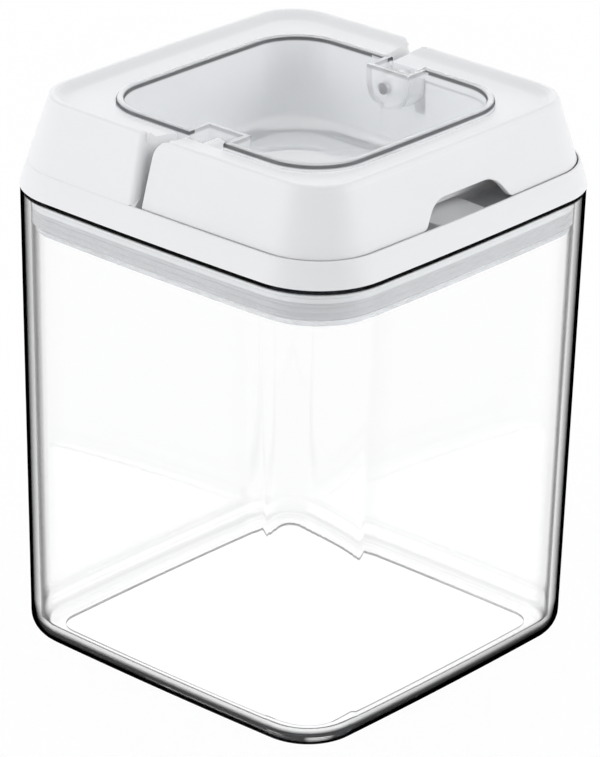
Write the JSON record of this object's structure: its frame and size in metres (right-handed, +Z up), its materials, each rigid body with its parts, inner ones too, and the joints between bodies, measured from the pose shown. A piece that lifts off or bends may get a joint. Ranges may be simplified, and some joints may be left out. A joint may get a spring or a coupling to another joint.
{
  "type": "airtight storage container",
  "caption": "Clear square jar with rounded corners and a white lid whose flip lever draws up a clear tub to squeeze a ribbed seal airtight.",
  "frame": {"origin": "middle of the jar's underside, on the surface that it stands on", "axes": "+Z up out of the jar's mouth, -Y towards the lever's finger recess, +X along the hinge"},
  "size_m": [0.1084, 0.1084, 0.142],
  "materials": {
    "clear_jar": "water-clear moulded plastic, polished",
    "white_moulding": "white moulded plastic, satin",
    "clear_tub": "water-clear moulded plastic, polished",
    "seal_silicone": "frosted translucent silicone",
    "pin_steel": "drawn steel"
  },
  "bodies": {
    "jar": {"jar": "clear_jar"},
    "lid_frame": {"lid_frame": "white_moulding", "gasket": "seal_silicone"},
    "clear_tub": {"clear_tub": "clear_tub", "hinge_pin_left": "pin_steel", "hinge_pin_right": "pin_steel"},
    "lever": {"lever": "white_moulding"}
  },
  "joints": [
    {"name": "lid_lift", "type": "slide", "parent": "jar", "child": "lid_frame", "axis": [0, 0, 1], "range_m": [0, 0.06]},
    {"name": "tub_drop", "type": "slide", "parent": "lid_frame", "child": "clear_tub", "axis": [0, 0, -1], "range_m": [0, 0.0015], "deforming": ["gasket"]},
    {"name": "lever_flip", "type": "hinge", "parent": "clear_tub", "child": "lever", "pos_m": [0, 0, 0.1356], "axis": [-1, 0, 0], "range_deg": [0, 90]}
  ],
  "couplings": [
    {"joint": "tub_drop", "follows": "lever_flip", "m_per_rad": 0.000954}
  ]
}
